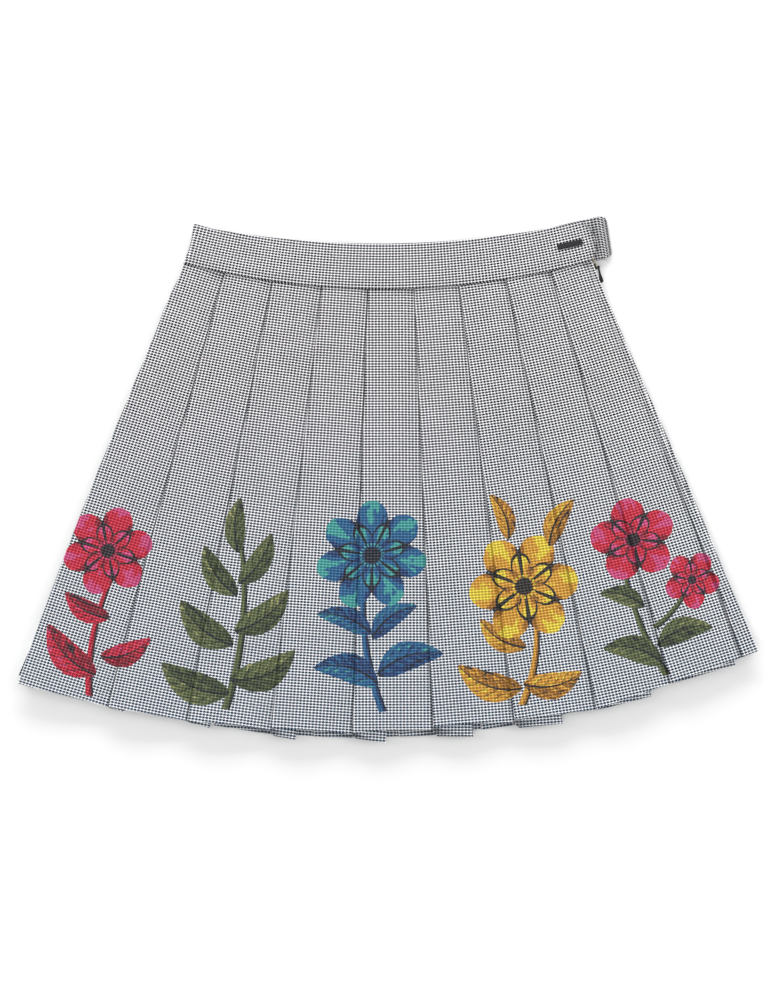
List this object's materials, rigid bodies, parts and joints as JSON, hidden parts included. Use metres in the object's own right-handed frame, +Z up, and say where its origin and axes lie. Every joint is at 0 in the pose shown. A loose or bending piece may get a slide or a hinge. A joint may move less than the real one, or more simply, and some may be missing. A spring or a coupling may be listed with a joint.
{
  "type": "pleated mini skirt",
  "caption": "Flared knife-pleated mini skirt laid flat, front up, with a folded waistband, an underlap, a blank woven tab and a side zip with a drop-shaped pull.",
  "frame": {"origin": "middle of the skirt's footprint, on the surface that it lies on", "axes": "+X towards the wearer's left side, which is the picture's right and has the zip, +Y from the hem to the waist, +Z up out of the front"},
  "size_m": [0.654, 0.4818, 0.01],
  "materials": {
    "checked_cloth": "fine black and off-white check, matt",
    "tab_weave": "black woven satin",
    "zip_weave": "matt black",
    "zip_metal": "black, half gloss"
  },
  "bodies": {
    "garment": {"skirt_front": "checked_cloth", "skirt_back": "checked_cloth", "waistband": "checked_cloth", "woven_tab": "tab_weave", "zip_tape": "zip_weave", "zip_slider": "zip_metal"},
    "pull": {"zip_pull": "zip_metal"}
  },
  "joints": [
    {"name": "zip_pull_swing", "type": "hinge", "parent": "garment", "child": "pull", "pos_m": [0.1934, 0.18984, 0.0033], "axis": [0, 0, 1], "range_deg": [0, 95]}
  ]
}
